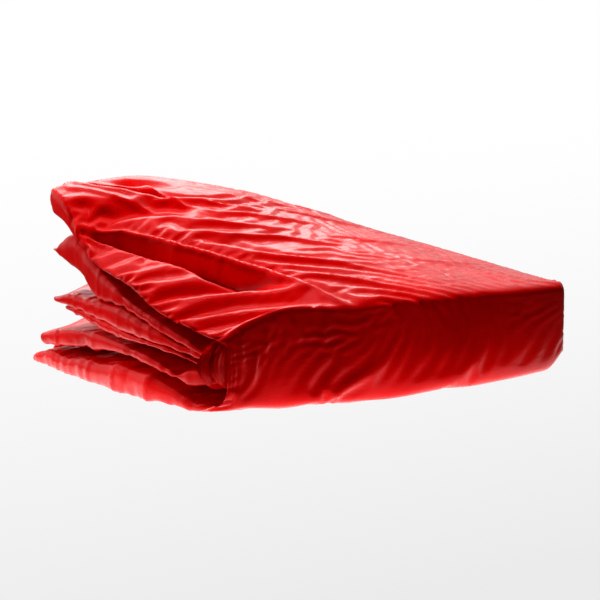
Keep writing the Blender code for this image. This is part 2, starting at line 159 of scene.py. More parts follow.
def levels(leaf, s, t):
    """Lowest and highest of a leaf, fanned at one end and pressed together beyond it."""
    pressed, stack = smooth(s / FAN_REACH), top_height(s, t)
    low, high = (
        through(FAN[leaf], t, side + 1) * (1 - pressed) + SHARE[leaf][side] * stack * pressed for side in (0, 1)
    )
    if leaf in "AC":
        inside, gusset = ridge_drop(s, t)
        room = np.where(inside > 0.5, gusset, 1.0) - {"A": 0.0015, "C": 0.0040}[leaf] * smooth(s / 0.02)
        high = np.minimum(high, room) if leaf == "C" else high
        low = np.minimum(low, room if leaf == "A" else high - 0.003)
    return low, high


# Noise.

def gradients(seed):
    rng = np.random.default_rng(seed)
    table = rng.permutation(256)
    directions = rng.normal(size=(256, 3))
    return table, directions / np.linalg.norm(directions, axis=1, keepdims=True)


def noise(p, seed=0):
    """Smooth noise of about -0.7 to 0.7 at the points p, whose last axis is x, y, z in cells."""
    table, directions = gradients(seed)
    cell = np.floor(p).astype(int)
    f = p - cell
    w = f * f * f * (f * (f * 6 - 15) + 10)
    total = np.zeros(p.shape[:-1])
    for corner in np.ndindex(2, 2, 2):
        c = cell + corner
        index = table[(table[(table[c[..., 0] % 256] + c[..., 1]) % 256] + c[..., 2]) % 256]
        weight = np.prod(np.where(np.array(corner) == 1, w, 1 - w), axis=-1)
        total += weight * (directions[index] * (f - corner)).sum(-1)
    return total


def folds(p, seed):
    """Long soft folds with sharp crests, 0 to 1."""
    warp = np.stack([noise(p * 0.6 + 7.3 * k, seed + 31 + k) for k in range(3)], -1)
    return np.clip(1 - np.abs(noise(p + 1.1 * warp, seed)) / 0.42, 0, 1) ** 2


def along(path, s, t):
    """(distance in metres from a path of (s, t) points, share of the way along it, side of it) for each s, t."""
    size = np.array((LENGTH, DEPTH))
    best = np.full(np.shape(s), 1e9)
    where = np.zeros(np.shape(s))
    side = np.zeros(np.shape(s))
    points = np.array(path) * size
    x, y = s * size[0], t * size[1]
    lengths = np.linalg.norm(np.diff(points, axis=0), axis=1)
    total, gone = lengths.sum(), 0.0
    for a, b, length in zip(points, points[1:], lengths):
        ab = b - a
        k = np.clip(((x - a[0]) * ab[0] + (y - a[1]) * ab[1]) / length**2, 0, 1)
        dx, dy = x - a[0] - k * ab[0], y - a[1] - k * ab[1]
        d = np.hypot(dx, dy)
        nearer = d < best
        best = np.where(nearer, d, best)
        where = np.where(nearer, (gone + k * length) / total, where)
        side = np.where(nearer, np.sign(ab[0] * dy - ab[1] * dx), side)
        gone += length
    return best, where, side


def crease(path, s, t, height, width):
    """A crest along a path, which fades in and out at its ends."""
    d, k, _ = along(path, s, t)
    return height * np.exp(-((d / width) ** 1.3)) * np.sin(np.pi * np.clip(k, 0.03, 0.97)) ** 0.6


# Meshes.

# How the columns crowd towards a leaf's nose.
LEAF_SPACING, WRAP_SPACING = 1.6, 1.25


def placed(name, data, finish=None):
    """A new object in the scene, smooth and with its material where one is given."""
    made = bpy.data.objects.new(name, data)
    bpy.context.scene.collection.objects.link(made)
    if finish:
        data.materials.append(finish)
        data.shade_smooth()
    return made


def mesh_of(name, points, faces):
    mesh = bpy.data.meshes.new(name)
    mesh.from_pydata(points.reshape(-1, 3).tolist(), [], faces)
    return mesh


def points_of(mesh):
    return np.array([tuple(v.co) for v in mesh.vertices])


def grid_faces(columns, rows):
    """The vertex numbers of a grid, and its quads."""
    index = np.arange(columns * rows).reshape(columns, rows)
    quads = np.stack([index[:-1, :-1], index[1:, :-1], index[1:, 1:], index[:-1, 1:]], -1)
    return index, quads.reshape(-1, 4).tolist()


def grid_normals(p):
    n = np.cross(np.gradient(p, axis=0), np.gradient(p, axis=1))
    return n / np.maximum(np.linalg.norm(n, axis=-1, keepdims=True), 1e-9)


def relax(p, times):
    """Evens out a grid of points within its edges."""
    for _ in range(times):
        q = p.copy()
        q[1:-1, 1:-1] = (p[:-2, 1:-1] + p[2:, 1:-1] + p[1:-1, :-2] + p[1:-1, 2:] + 2 * p[1:-1, 1:-1]) / 6
        p = q
    return p


def grid_object(name, p, finish, close_front=True):
    """A mesh from a grid of points, folded over at its middle column, with its two plies joined at the far ends, at
    the back and, where asked, at the front."""
    columns, rows = p.shape[:2]
    index, quads = grid_faces(columns, rows)
    for row in (rows - 1, 0) if close_front else (rows - 1,):
        for i in range(columns // 2):
            quad = [int(index[k, row]) for k in (i, i + 1, columns - 2 - i, columns - 1 - i)]
            quads.append(list(dict.fromkeys(quad if row else quad[::-1])))
    for j in range(rows - 1):
        quads.append([int(index[k, m]) for k, m in ((0, j), (0, j + 1), (-1, j + 1), (-1, j))])
    mesh = mesh_of(name, p, quads)
    mesh.validate()
    return placed(name, mesh, finish)


def two_plies(outer, inner, s, r, nose, c, power=3.2, blunt=0.5):
    """Brings two plies together in a squarish nose, in a point at its far tip, and in a thin end for the hem. nose is
    the share of the length over which they meet, and blunt the share of the thickness that is left at the tip."""
    tip = blunt + (1 - blunt) * rounded(np.hypot(s * LENGTH, (1 - r) * DEPTH) / 0.028)
    end = 1 - 0.62 * smooth((r - 0.14) / 0.1) * (1 - rounded((1 - s) / 0.05))
    k = (rounded(s / nose, power) * tip * end)[..., None]
    return (outer + inner) / 2 + (outer - inner) / 2 * k * np.sign(c)[:, None, None]


def ply_grid(columns, spacing, rows):
    """Shares for a sheet folded over at s = 0: c runs from the far end of the inner ply, -1, to the outer's, 1."""
    c = np.linspace(-1, 1, 2 * columns + 1)
    s, r = np.meshgrid(np.abs(c) ** spacing, rows, indexing="ij")
    return c, s, r


# Materials.

def nodes_of(name):
    made = bpy.data.materials.new(name)
    made.use_nodes = True
    tree = made.node_tree
    return made, tree, tree.nodes["Principled BSDF"]


def given(node, **values):
    """The node, with its inputs of these names, or else its own settings, set."""
    for key, value in values.items():
        if key in node.inputs:
            node.inputs[key].default_value = value
        else:
            setattr(node, key.lower(), value)
    return node


def add(tree, kind, **values):
    return given(tree.nodes.new(kind), **values)


def fed(tree, source, kind, **values):
    """A texture or mapping node that reads the vector source."""
    made = add(tree, kind, **values)
    tree.links.new(source, made.inputs["Vector"])
    return made


def worked_out(tree, operation, *values):
    """A Math node on plain numbers and other nodes' outputs."""
    made = add(tree, "ShaderNodeMath", operation=operation)
    for socket, value in zip(made.inputs, values):
        if isinstance(value, float):
            socket.default_value = value
        else:
            tree.links.new(value, socket)
    return made.outputs[0]


def map_range(tree, source, start, end, low, high):
    """A node that takes source from start..end to low..high."""
    made = add(tree, "ShaderNodeMapRange", **{"From Min": start, "From Max": end, "To Min": low, "To Max": high})
    tree.links.new(source, made.inputs["Value"])
    return made.outputs["Result"]


def two_colours(tree, source, low, high):
    """A colour ramp between two (place, colour) pairs."""
    ramp = add(tree, "ShaderNodeValToRGB")
    for element, (place, colour) in zip(ramp.color_ramp.elements, (low, high)):
        element.position = place
        element.color = colour + [1]
    tree.links.new(source, ramp.inputs["Fac"])
    return ramp.outputs["Color"]


def seen_or_lit(tree, lit, seen, output):
    """Shows the camera one shader, and lets everything else be lit by the other."""
    path = add(tree, "ShaderNodeLightPath")
    mix = add(tree, "ShaderNodeMixShader")
    tree.links.new(path.outputs["Is Camera Ray"], mix.inputs[0])
    tree.links.new(lit.outputs[0], mix.inputs[1])
    tree.links.new(seen.outputs[0], mix.inputs[2])
    tree.links.new(mix.outputs[0], tree.nodes[output].inputs["Surface"])


def coated_cloth(name, colour, rough, seed):
    """Glossy coated nylon: a smooth coat over a fine weave, with small dents and slightly uneven colour."""
    made, tree, shader = nodes_of(name)
    link = tree.links.new
    place = add(tree, "ShaderNodeTexCoord").outputs["Object"]
    shift = fed(tree, place, "ShaderNodeMapping", Location=(seed * 1.7, seed * 0.9, seed * 2.3)).outputs["Vector"]
    blotches = fed(tree, shift, "ShaderNodeTexNoise", Scale=14.0, Detail=4.0).outputs["Fac"]
    shades = two_colours(tree, blotches, (0.3, [c * 0.80 for c in colour]), (0.7, [c * 1.06 for c in colour]))
    link(shades, shader.inputs["Base Color"])
    link(map_range(tree, blotches, 0.0, 1.0, rough - 0.05, rough + 0.08), shader.inputs["Roughness"])

    stretch = fed(tree, shift, "ShaderNodeMapping", Scale=(0.45, 1.0, 1.0)).outputs["Vector"]
    crumple = fed(tree, stretch, "ShaderNodeTexNoise", Scale=46.0, Detail=5.0, Roughness=0.55, Distortion=0.6)
    dents = add(tree, "ShaderNodeBump", Strength=0.35, Distance=0.0016)
    link(crumple.outputs["Fac"], dents.inputs["Height"])
    weave = [fed(tree, place, "ShaderNodeTexWave", Scale=520.0, Distortion=0.4, bands_direction=direction)
             for direction in ("X", "Y")]
    threads = add(tree, "ShaderNodeBump", Strength=0.10, Distance=0.00008)
    link(worked_out(tree, "MULTIPLY", *(wave.outputs["Fac"] for wave in weave)), threads.inputs["Height"])
    link(dents.outputs["Normal"], threads.inputs["Normal"])
    link(threads.outputs["Normal"], shader.inputs["Normal"])

    given(shader, **{"Specular IOR Level": 0.45, "Specular Tint": (1.0, 0.04, 0.05, 1),
                     "Coat Weight": 0.03, "Coat Roughness": 0.14})
    return made


def woven(name, colour, rough, across):
    """Webbing, elastic or tape: ribs across, as close as across says, and a fine weave along."""
    made, tree, shader = nodes_of(name)
    link = tree.links.new
    place = add(tree, "ShaderNodeTexCoord").outputs["Object"]
    ribs = fed(tree, place, "ShaderNodeTexWave", Scale=across, Distortion=1.0, Detail=1.0, bands_direction="Y")
    fuzz = fed(tree, place, "ShaderNodeTexNoise", Scale=900.0, Detail=2.0)
    shades = two_colours(tree, fuzz.outputs["Fac"], (0.0, [c * 0.6 for c in colour]), (1.0, [c * 1.5 for c in colour]))
    link(shades, shader.inputs["Base Color"])
    bump = add(tree, "ShaderNodeBump", Strength=0.6, Distance=0.0003)
    link(ribs.outputs["Fac"], bump.inputs["Height"])
    link(bump.outputs["Normal"], shader.inputs["Normal"])
    given(shader, **{"Roughness": rough, "Sheen Weight": 0.2})
    return made


# A piece's slot has its material's name, less the number that Blender adds where the frame uses that name.
deck_cloth = coated_cloth("deck_cloth", (0.80, 0.0004, 0.0006), rough=0.23, seed=1)
tunnel_cloth = coated_cloth("tunnel_cloth", (0.76, 0.0006, 0.0010), rough=0.28, seed=2)
hem_cloth = coated_cloth("hem_cloth", (0.70, 0.0006, 0.0010), rough=0.34, seed=3)
cord_cover = woven("shock_cord", (0.02, 0.02, 0.022), rough=0.7, across=700.0)
elastic_weave = woven("elastic", (0.02, 0.02, 0.022), rough=0.8, across=500.0)
webbing_weave = woven("webbing", (0.022, 0.022, 0.024), rough=0.6, across=420.0)
tape = woven("hook_and_loop", (0.03, 0.03, 0.032), rough=0.95, across=900.0)


# Shapes.

# How much a leaf's far tip is rounded off, as a share of its sizes, and how thick the lowest leaf's loose edge is.
TIP_ROUND, LOW_EDGE = 0.10, 0.0065


def end_x(leaf, s, t):
    """X of a point of a leaf: its nose bulges a little, and its corners are rounded."""
    t = np.clip(t, 0, 1)
    start = X_NOSE - REACH[leaf] * (0.35 + 0.65 * smooth(t / 0.35)) - 0.0035 * np.sin(np.pi * t) ** 2
    near_corner = (0.022 if leaf == "G" else 0.037) * (1 - s) ** 10 * (1 - t) ** 6
    open_corner = 0.010 * (1 - s) ** 24 * t**24
    tip = TIP_ROUND * (s * t) ** 4
    hem = 0.0055 * smooth((t - 0.03) / 0.10) * smooth((s - 0.9) / 0.1)
    return start + (X_NOSE + LENGTH - start) * s + LENGTH * (near_corner + open_corner - tip) + hem


def leaf_y(leaf, s, t):
    """Y of a point of a leaf, t running from 0 at the fold to 1 at the leaf's own loose edge."""
    back = DEPTH * (BACK[leaf] + (0.985 - BACK[leaf]) * smooth(s / FAN_REACH + 0.12))
    return fold_y(s) + back * t - DEPTH * (TIP_ROUND * (s * t) ** 4 + 0.012 * (1 - s) ** 24 * t**24)


def to_ridge(s, t):
    """The ridge's share of the length at a depth, and how far s is on the way to it, 0 to 1."""
    ridge_s = np.interp(t, [p[1] for p in reversed(RIDGE)], [p[0] for p in reversed(RIDGE)])
    return ridge_s, np.clip(s / np.maximum(ridge_s, 0.004), 0, 1)


def ridge_drop(s, t):
    """Where the top leaf's outside lies below the plain top, between its lip and the ridge, and its height there."""
    ridge_s, u = to_ridge(s, t)
    lip = through(FAN["A"], t, 2)
    crest = top_height(ridge_s, t)
    pillow = 0.50 * (1 - (1 - u) ** 2) + 0.50 * u**9
    even = 0.5 * u + 0.5 * u**1.3
    deep = smooth((t - 0.06) / 0.25)
    rising = lip + (crest - lip) * (even + (pillow - even) * deep)
    hollow = np.exp(-(((u - 0.82) / 0.12) ** 2)) * smooth((t - 0.12) / 0.2) * smooth((0.70 - t) / 0.06)
    inside = smooth((0.66 - t) / 0.04) * (s < ridge_s)
    return inside, rising - MOUTH_DEPTH * hollow


def wall_tuck(s, t):
    """How far the mouth's wall is drawn in under the ridge, so that the ridge hangs over it."""
    u = to_ridge(s, t)[1]
    return WALL_TUCK * np.exp(-(((u - 0.88) / 0.07) ** 2)) * smooth((t - 0.12) / 0.2) * smooth((0.66 - t) / 0.08)


def leaf_at(leaf, s, own):
    """X, y, share of the bundle's depth, lowest and highest of a leaf, where own runs over the leaf's own depth."""
    x, y = end_x(leaf, s, own), leaf_y(leaf, s, own)
    t = np.clip((y - fold_y(s)) / DEPTH, 0, 1)
    return (x, y, t) + levels(leaf, s, t)


def top_outside(s, own):
    """Point of the top leaf's upper ply, and the leaf's underside there."""
    x, y, t, low, high = leaf_at("A", s, own)
    plain = np.maximum(top_height(s, t), high)
    at_nose = smooth(1 - s / 0.10) * smooth((t - 0.56) / 0.05)
    plain = plain * (1 - at_nose) + high * at_nose
    inside, dropped = ridge_drop(s, t)
    z = plain * (1 - inside) + dropped * inside
    tuck = wall_tuck(s, t) * inside
    return np.stack([x + 0.6 * tuck, y + 0.8 * tuck, z], -1), low


def edge_close(t_leaf, high, low, share=0.035, edge=0.008):
    """Brings two plies together at the loose edge."""
    middle, half = (high + low) / 2, (high - low) / 2
    k = np.minimum(half, edge / 2) + np.maximum(half - edge / 2, 0) * rounded((1 - t_leaf) / share)
    return middle + k, middle - k


def face_x(s, z):
    """X on the fold's face, which starts a little way in, where the near corner is rounded."""
    return X_NOSE + LENGTH * s + (0.0075 + 0.0070 * smooth((z - 0.004) / 0.016)) * (1 - s) ** 10


def sag(s, z, top):
    """How far the fold's face stands out, most near the floor."""
    u = np.clip(z / top, 0, 1)
    along_it = np.sin(np.pi * np.clip(s, 0, 1) ** 1.5) ** 0.6
    return FOLD_SAG * along_it * np.sin(np.pi * u**0.42) * (1 - 0.25 * u)


def fold_face(s, z, top):
    return fold_y(s) - sag(s, z, top)


# The rows of a wrap at which the fold's face and its turn end.
WRAP_FACE, WRAP_TURN = 0.105, 0.135


def leaf_share(r, start):
    """Share of the leaf's depth at a wrap's row, where the leaf starts at row start."""
    return np.clip((r - start) / (1 - start), 0, 1)


def outer_ply(s, r, z_turn, z_end, reach, leaf):
    """A wrap's outside: from the seam along the fold's face to z_turn, round its edge to z_end and over the leaf."""
    top = through(FOLD_HEIGHT, s)
    seam = top / 2
    z = seam + (z_turn - seam) * np.clip(r / WRAP_FACE, 0, 1)
    on_face = np.stack([face_x(s, z), fold_face(s, z, top), z], -1)
    angle = np.clip((r - WRAP_FACE) / (WRAP_TURN - WRAP_FACE), 0, 1) * np.pi / 2
    turn = np.stack([
        face_x(s, z_turn),
        fold_face(s, z_turn, top) + reach * (1 - np.cos(angle)),
        z_turn + (z_end - z_turn) * np.sin(angle),
    ], -1)
    return np.where((r >= WRAP_TURN)[..., None], leaf, np.where((r >= WRAP_FACE)[..., None], turn, on_face))


def inner_ply(s, r, leaf, side, height):
    """A wrap's inside: the strip's inner ply, and the leaf's inner side, at height(share, low, high)."""
    seam = through(FOLD_HEIGHT, s) / 2
    z = seam + (levels(leaf, s, np.zeros_like(s))[side] - seam) * np.clip(r / WRAP_FACE, 0, 1)
    on_face = np.stack([face_x(s, z), fold_y(s) + STRIP, z], -1)
    t_leaf = leaf_share(r, WRAP_FACE)
    x, y, _, low, high = leaf_at(leaf, s, STRIP / DEPTH + (1 - STRIP / DEPTH) * t_leaf)
    inner = np.stack([x, y, height(t_leaf, low, high)], -1)
    return np.where((r >= WRAP_FACE)[..., None], inner, on_face)


def top_outer(s, r):
    top = through(FOLD_HEIGHT, s)
    t_leaf = leaf_share(r, WRAP_TURN)
    start = TOP_RADIUS / DEPTH
    leaf, low = top_outside(s, start + (1 - start) * t_leaf)
    leaf[..., 2], _ = edge_close(t_leaf, leaf[..., 2], low)
    return outer_ply(s, r, top - TOP_RADIUS, top, TOP_RADIUS, leaf)


def top_inner(s, r):
    return inner_ply(s, r, "A", 0, lambda t_leaf, low, high: edge_close(t_leaf, high, low)[1])


def bottom_outer(s, r):
    """The lower wrap's outside, which is clear of the floor at both ends and has a wider turn at the fanned one."""
    rise = TIP_RISE * smooth((s - 0.93) / 0.07) + FANNED_RISE * smooth((0.34 - s) / 0.26)
    radius = BOTTOM_RADIUS + NEAR_RADIUS * smooth((0.06 - s) / 0.06)
    reach = radius * 1.4
    t_leaf = leaf_share(r, WRAP_TURN)
    start = reach / DEPTH
    own = start + (1 - start) * t_leaf
    lifted = NOSE_LIFT * smooth((0.16 - s) / 0.14) * smooth((0.42 - t_leaf) / 0.25)
    z = np.maximum(np.maximum(rise * (1 - smooth(t_leaf / 0.12)), lifted), FLOOR_GAP)
    leaf = np.stack([end_x("G", s, own), leaf_y("G", s, own), z], -1)
    return outer_ply(s, r, radius + rise, rise, reach, leaf)


def bottom_inner(s, r):
    def height(t_leaf, low, high):
        return np.minimum(high, LOW_EDGE + (high - LOW_EDGE) * rounded((1 - t_leaf) / 0.06))
    return inner_ply(s, r, "G", 1, height)


def nose_of(leaf, r, front=0.0):
    """Share of the length over which a leaf's nose closes: about as long as the leaf is thick there."""
    t = leaf_share(r, front) * BACK[leaf]
    thick = through(FAN[leaf], t, 2) - through(FAN[leaf], t, 1)
    return np.maximum(thick * 0.42 / LENGTH, 0.005)


# Wrinkles, in metres along the outward normal.

TOP_CREASES = (
    # ((s, t) points, height, width)
    (((0.0, 0.86), (0.10, 0.80), (0.22, 0.735), (0.30, 0.70)), 0.0042, 0.0060),
    (((0.02, 0.80), (0.12, 0.74), (0.22, 0.66), (0.33, 0.645)), 0.0030, 0.0050),
    (((0.28, 0.90), (0.27, 0.80), (0.30, 0.70), (0.36, 0.66)), 0.0040, 0.0045),
    (((0.28, 0.72), (0.38, 0.735), (0.47, 0.71), (0.55, 0.70)), 0.0034, 0.0055),
    (((0.34, 0.66), (0.45, 0.65), (0.55, 0.62), (0.64, 0.60)), 0.0032, 0.0050),
    (((0.14, 0.62), (0.26, 0.585), (0.38, 0.56), (0.52, 0.53)), 0.0028, 0.0060),
    (((0.20, 0.50), (0.32, 0.47), (0.45, 0.46), (0.55, 0.42)), 0.0026, 0.0060),
    (((0.42, 0.88), (0.50, 0.84), (0.60, 0.80), (0.70, 0.79)), 0.0030, 0.0055),
    (((0.52, 0.76), (0.62, 0.72), (0.72, 0.68), (0.85, 0.66)), 0.0026, 0.0060),
    (((0.28, 0.34), (0.40, 0.30), (0.50, 0.26), (0.60, 0.25)), 0.0020, 0.0055),
    (((0.36, 0.20), (0.45, 0.15), (0.50, 0.08)), 0.0018, 0.0045),
    (((0.60, 0.50), (0.72, 0.46), (0.84, 0.45)), 0.0018, 0.0070),
    (((0.70, 0.30), (0.80, 0.26), (0.93, 0.25)), 0.0016, 0.0060),
    (((0.66, 0.86), (0.78, 0.82), (0.90, 0.84)), 0.0024, 0.0060),
)
# The ridge's crest and the groove under it: (how far it stands out, half width) in metres.
CREST, GROOVE = (0.0035, 0.0065), (-0.0045, 0.007)
# The step behind the long fold at the far left, as (s, t), and its height.
STEP = ((0.0, 0.90), (0.10, 0.86), (0.22, 0.80), (0.34, 0.74))
STEP_HEIGHT = 0.0055
# Pockets: (share of the length, share of the depth, half widths along and across, depth in metres).
POCKETS = ((0.27, 0.86, 0.020, 0.012, 0.0090), (0.05, 0.69, 0.010, 0.006, 0.0035), (0.10, 0.66, 0.014, 0.006, 0.0040))


def top_creases(p, s, r):
    """The top leaf's long creases, its ridge and the groove under it, the step at the far left, and pockets."""
    t = np.clip((p[..., 1] - fold_y(s)) / DEPTH, 0, 1)
    on_leaf = smooth((r - WRAP_FACE) / 0.06)
    d = np.zeros_like(s)
    for path, height, width in TOP_CREASES:
        d += crease(path, s, t, height, width)
    off, k, side = along(RIDGE, s, t)
    ridge = CREST[0] * np.exp(-((off / CREST[1]) ** 1.2)) * np.sin(np.pi * np.clip(k, 0.02, 0.98)) ** 0.5
    along_it = np.sin(np.pi * np.clip(k, 0.05, 0.8)) ** 0.5
    under = GROOVE[0] * np.exp(-(((off - 0.011) / GROOVE[1]) ** 2)) * (side > 0) * along_it
    step_t = np.interp(s, [q[0] for q in STEP], [q[1] for q in STEP])
    ahead = (step_t - t) * DEPTH
    step = -STEP_HEIGHT * np.exp(-np.maximum(ahead, 0) / 0.035) * smooth((ahead + 0.002) / 0.004)
    step = step * smooth((s - 0.06) / 0.08) * smooth((0.34 - s) / 0.06)
    pocket = sum(-depth * np.exp(-(((s - at_s) * LENGTH / wide) ** 2) - ((t - at_t) * DEPTH / deep) ** 2)
                 for at_s, at_t, wide, deep, depth in POCKETS)
    return on_leaf * (d + ridge + under + step + pocket)


def leaf_wrinkles(p, s, r, seed, strength=1.0):
    """Soft folds over a leaf, and sharp uneven creases that run in from its nose."""
    d = folds(p * np.array((20.0, 50.0, 40.0)), seed) * 0.0009 + noise(p * 30, seed + 3) * 0.0016
    rng = np.random.default_rng(seed)
    for start in np.linspace(0.12, 0.88, 8):
        start += rng.uniform(-0.05, 0.05)
        reach, drift = rng.uniform(0.04, 0.14), rng.uniform(-0.05, 0.12)
        path = ((-0.02, start), (reach * 0.5, start + drift * 0.4), (reach, start + drift))
        d = d + crease(path, s, r, rng.choice((-1, 1)) * rng.uniform(0.0006, 0.0018), rng.uniform(0.0022, 0.0060))
    return strength * d


def displaced(p, amount):
    return p + grid_normals(p) * amount[..., None]


def floor_clamp(p):
    p[..., 2] = np.maximum(p[..., 2], FLOOR_GAP)
    return p


SETTLE_FRAMES, BENDING, PIN_STIFFNESS = 24, 40.0, 0.1


def settle(p, rest, hold):
    """Lets a sheet of cloth that is larger than its place buckle. p is the grid of points where it starts, rest the
    grid whose edges give the cloth's own size, and hold how strongly each point is tied to its start, 0 to 1."""
    sheet = placed("settling", mesh_of("settling", rest, grid_faces(*p.shape[:2])[1]))
    sheet.shape_key_add(name="Basis")
    place = sheet.shape_key_add(name="place")
    place.data.foreach_set("co", p.reshape(-1).astype(np.float32))
    for value, when in ((0.0, 1), (1.0, 1 + SETTLE_FRAMES * 2 // 5)):
        place.value = value
        place.keyframe_insert("value", frame=when)
    group = sheet.vertex_groups.new(name="hold")
    hold = np.round(hold.reshape(-1), 2)
    for weight in np.unique(hold):
        group.add(np.nonzero(hold == weight)[0].tolist(), float(weight), "REPLACE")
    cloth = sheet.modifiers.new("cloth", "CLOTH")
    for key, value in {"vertex_group_mass": "hold", "pin_stiffness": PIN_STIFFNESS, "quality": 5, "mass": 0.3,
                       "tension_stiffness": 15, "compression_stiffness": 15, "shear_stiffness": 5,
                       "bending_stiffness": BENDING, "air_damping": 1}.items():
        setattr(cloth.settings, key, value)
    cloth.settings.effector_weights.gravity = 0
    cloth.collision_settings.use_collision = False
    cloth.point_cache.frame_start, cloth.point_cache.frame_end = 1, SETTLE_FRAMES
    for f in range(SETTLE_FRAMES + 1):
        bpy.context.scene.frame_set(f)
    moved = sheet.evaluated_get(bpy.context.evaluated_depsgraph_get())
    result = points_of(moved.data).reshape(p.shape)
    bpy.data.objects.remove(sheet)
    bpy.context.scene.frame_set(1)
    return result


def limited(p, q, most):
    """q, brought back to within most of p, softly."""
    move = q - p
    length = np.linalg.norm(move, axis=-1, keepdims=True)
    return p + move * np.tanh(length / most) * most / np.maximum(length, 1e-9)


# The two halves of the outside, made as one cloth.

LOWER_ROWS, UPPER_ROWS, WRAP_COLUMNS = 110, 170, 130
# How many columns of the inside, next to the noses, settle with the outside, and how far cloth may move as it settles.
INSIDE_COLUMNS, SETTLE_REACH = 46, 0.006


def wrap_shape():
    """The two wraps as one grid, with its s and its rows g, which are below 0 on the lower wrap."""
    rows = np.concatenate([-np.linspace(1, 0, LOWER_ROWS)[:-1], np.linspace(0, 1, UPPER_ROWS)])
    c, s, g = ply_grid(WRAP_COLUMNS, WRAP_SPACING, rows)
    r = np.abs(g)
    below = (g < 0)[..., None]
    outer = np.where(below, bottom_outer(s, r), top_outer(s, r))
    inner = np.where(below, bottom_inner(s, r), top_inner(s, r))
    nose = np.where(r < WRAP_TURN, 0.008, np.where(g < 0, nose_of("G", r, WRAP_TURN), nose_of("A", r, WRAP_TURN)))
    top_tip = np.where(g > 0, smooth((r - 0.62) / 0.1), 0.0)
    return two_plies(outer, inner, s, r, nose * (1 - 0.4 * top_tip), c, 3.2 + 3 * top_tip, 0.5 + 0.5 * top_tip), s, g


def make_wraps():
    p, s, g = wrap_shape()
    r = np.abs(g)
    p = relax(p, 3)
    outside = (np.arange(p.shape[0]) >= WRAP_COLUMNS)[:, None]
    top = through(FOLD_HEIGHT, s)
    on_face = smooth((WRAP_TURN - r) / 0.02)
    p = displaced(p, np.where(g > 0, top_creases(p, s, r) * outside, 0.0))

    # The cloth is larger than its place: mostly across the bundle, and slanting low on the fold's face.
    x, y, z = p[..., 0], p[..., 1], p[..., 2]
    fanned = smooth((0.08 - x) / 0.22)
    low = smooth((0.55 - z / top) / 0.3)
    uneven = 1 + 1.2 * noise(p * 14, 6)
    rest = np.stack([
        x * (1 + EXCESS_X) - SLANT * z * on_face * uneven,
        y * (1 + EXCESS_Y * (0.06 + 0.94 * fanned) * uneven),
        z * (1 + EXCESS_Z),
    ], -1)
    first = WRAP_COLUMNS - INSIDE_COLUMNS
    hold = HOLD + (HOLD_CALM - HOLD) * (1 - fanned)
    hold = hold + (HOLD_FACE + (HOLD_BAND - HOLD_FACE) * (1 - low) - hold) * on_face
    hold = np.where((g > 0) & ~outside, HOLD_INSIDE, hold)
    share = np.clip((y - fold_y(s)) / DEPTH, 0, 1)
    off, _, side = along(RIDGE, s, share)
    wall = (g > WRAP_TURN) & (side > 0) & (off < 0.022) & (share > 0.12)
    hold = np.where(wall & outside, HOLD_WALL, hold)
    hold = np.where(g < -WRAP_TURN, 1.0, hold)
    hold = np.maximum(hold, HOLD_NOSE * smooth((0.02 - s) / 0.02))
    hold[:first + 2] = 1.0
    hold[:, 0] = 1.0
    hold[-2:] = np.maximum(hold[-2:], HOLD_INSIDE)
    seeded = p + grid_normals(p) * noise(p * 130, 5)[..., None] * 0.0004
    q = p.copy()
    q[first:] = settle(seeded[first:], rest[first:], hold[first:])
    p = limited(p, q, SETTLE_REACH)
    p = displaced(p, fine_wrinkles(p, s, r) * outside)
    p = displaced(p, np.where(g < -WRAP_TURN, leaf_wrinkles(p, s, r, 55, 1.2), 0.0) * smooth((0.2 - s) / 0.1))
    p = floor_clamp(p)

    made = {}
    for half, part in (("lower", p[:, :LOWER_ROWS][:, ::-1]), ("upper", p[:, LOWER_ROWS - 1:])):
        made[half] = grid_object(f"rear_deck_{half}_wrap", part, deck_cloth, close_front=False)
    made["lower"].data.flip_normals()
    return made


# Short upright puckers on the fold's face: (share of the length, height, lean, how far they stand out).
FACE_DENTS = ((0.048, 0.052, -0.5, 0.0022), (0.085, 0.040, 0.6, 0.0026), (0.120, 0.058, 0.5, 0.0016),
              (0.20, 0.066, -0.3, 0.0014), (0.27, 0.060, 0.4, 0.0012))
# Upright lines beside the face's left rim: (distance from it, how far they stand out), in metres.
RIM_LINES = ((0.0042, 0.0010), (0.0092, 0.0011), (0.0165, 0.0008), (0.0300, 0.0006))


def fine_wrinkles(p, s, r):
    """Small creases on the top, and upright ones on the fold's face beside its left rim."""
    stretched = p * np.array((40.0, 110.0, 90.0))
    on_face = smooth((WRAP_TURN - r) / 0.02)
    lens = np.clip(np.sin(np.pi * np.clip((p[..., 2] - 0.014) / 0.050, 0, 1)), 0, 1) ** 0.6
    waver = 0.0006 * noise(p * 90, 4)
    rim = sum(height * np.exp(-(((s * LENGTH - place * (0.3 + 0.7 * lens) - waver) / 0.0016) ** 2))
              for place, height in RIM_LINES)
    dents = 0.0
    for at_s, at_z, lean, height in FACE_DENTS:
        above = p[..., 2] - at_z
        dents = dents + height * np.exp(-(((s - at_s - lean * above) / 0.0075) ** 2) - (above / 0.011) ** 2)
    return folds(stretched, 12) * 0.0005 * smooth((r - WRAP_FACE) / 0.06) + (rim * lens + dents) * on_face


LEAF_COLUMNS, LEAF_ROWS, LEAF_CLEARANCE = 100, 130, 0.0004


